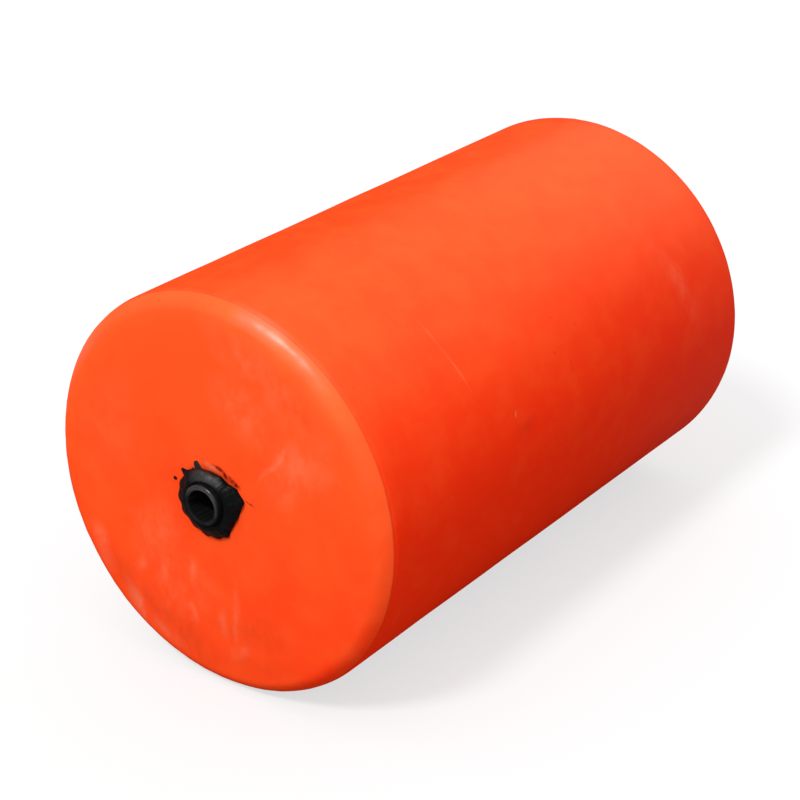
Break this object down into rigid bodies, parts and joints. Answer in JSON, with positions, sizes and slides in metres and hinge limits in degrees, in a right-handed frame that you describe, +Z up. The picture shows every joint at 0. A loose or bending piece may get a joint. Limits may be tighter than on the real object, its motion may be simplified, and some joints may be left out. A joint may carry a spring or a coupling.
{
  "type": "cylindrical through-pipe float buoy",
  "caption": "Cylindrical orange moulded float lying on its side, with a black pipe through its axis that is welded in at both ends, threaded on a rope, cable or rod to carry it on water.",
  "frame": {"origin": "on the ground under the middle of the barrel, which lies on its side", "axes": "+X along the pipe towards the far end, +Z up"},
  "size_m": [1.034, 0.6, 0.5999],
  "materials": {
    "orange_skin": "rotationally moulded orange polyethylene, satin, lightly scuffed",
    "black_pipe": "extruded black polyethylene, satin, with rims rounded over",
    "black_weld": "black hand-laid extrusion weld, uneven, half glossy"
  },
  "bodies": {
    "root": {"float_shell": "orange_skin", "through_pipe": "black_pipe", "weld_collar_near": "black_weld", "weld_collar_far": "black_weld"}
  },
  "joints": []
}
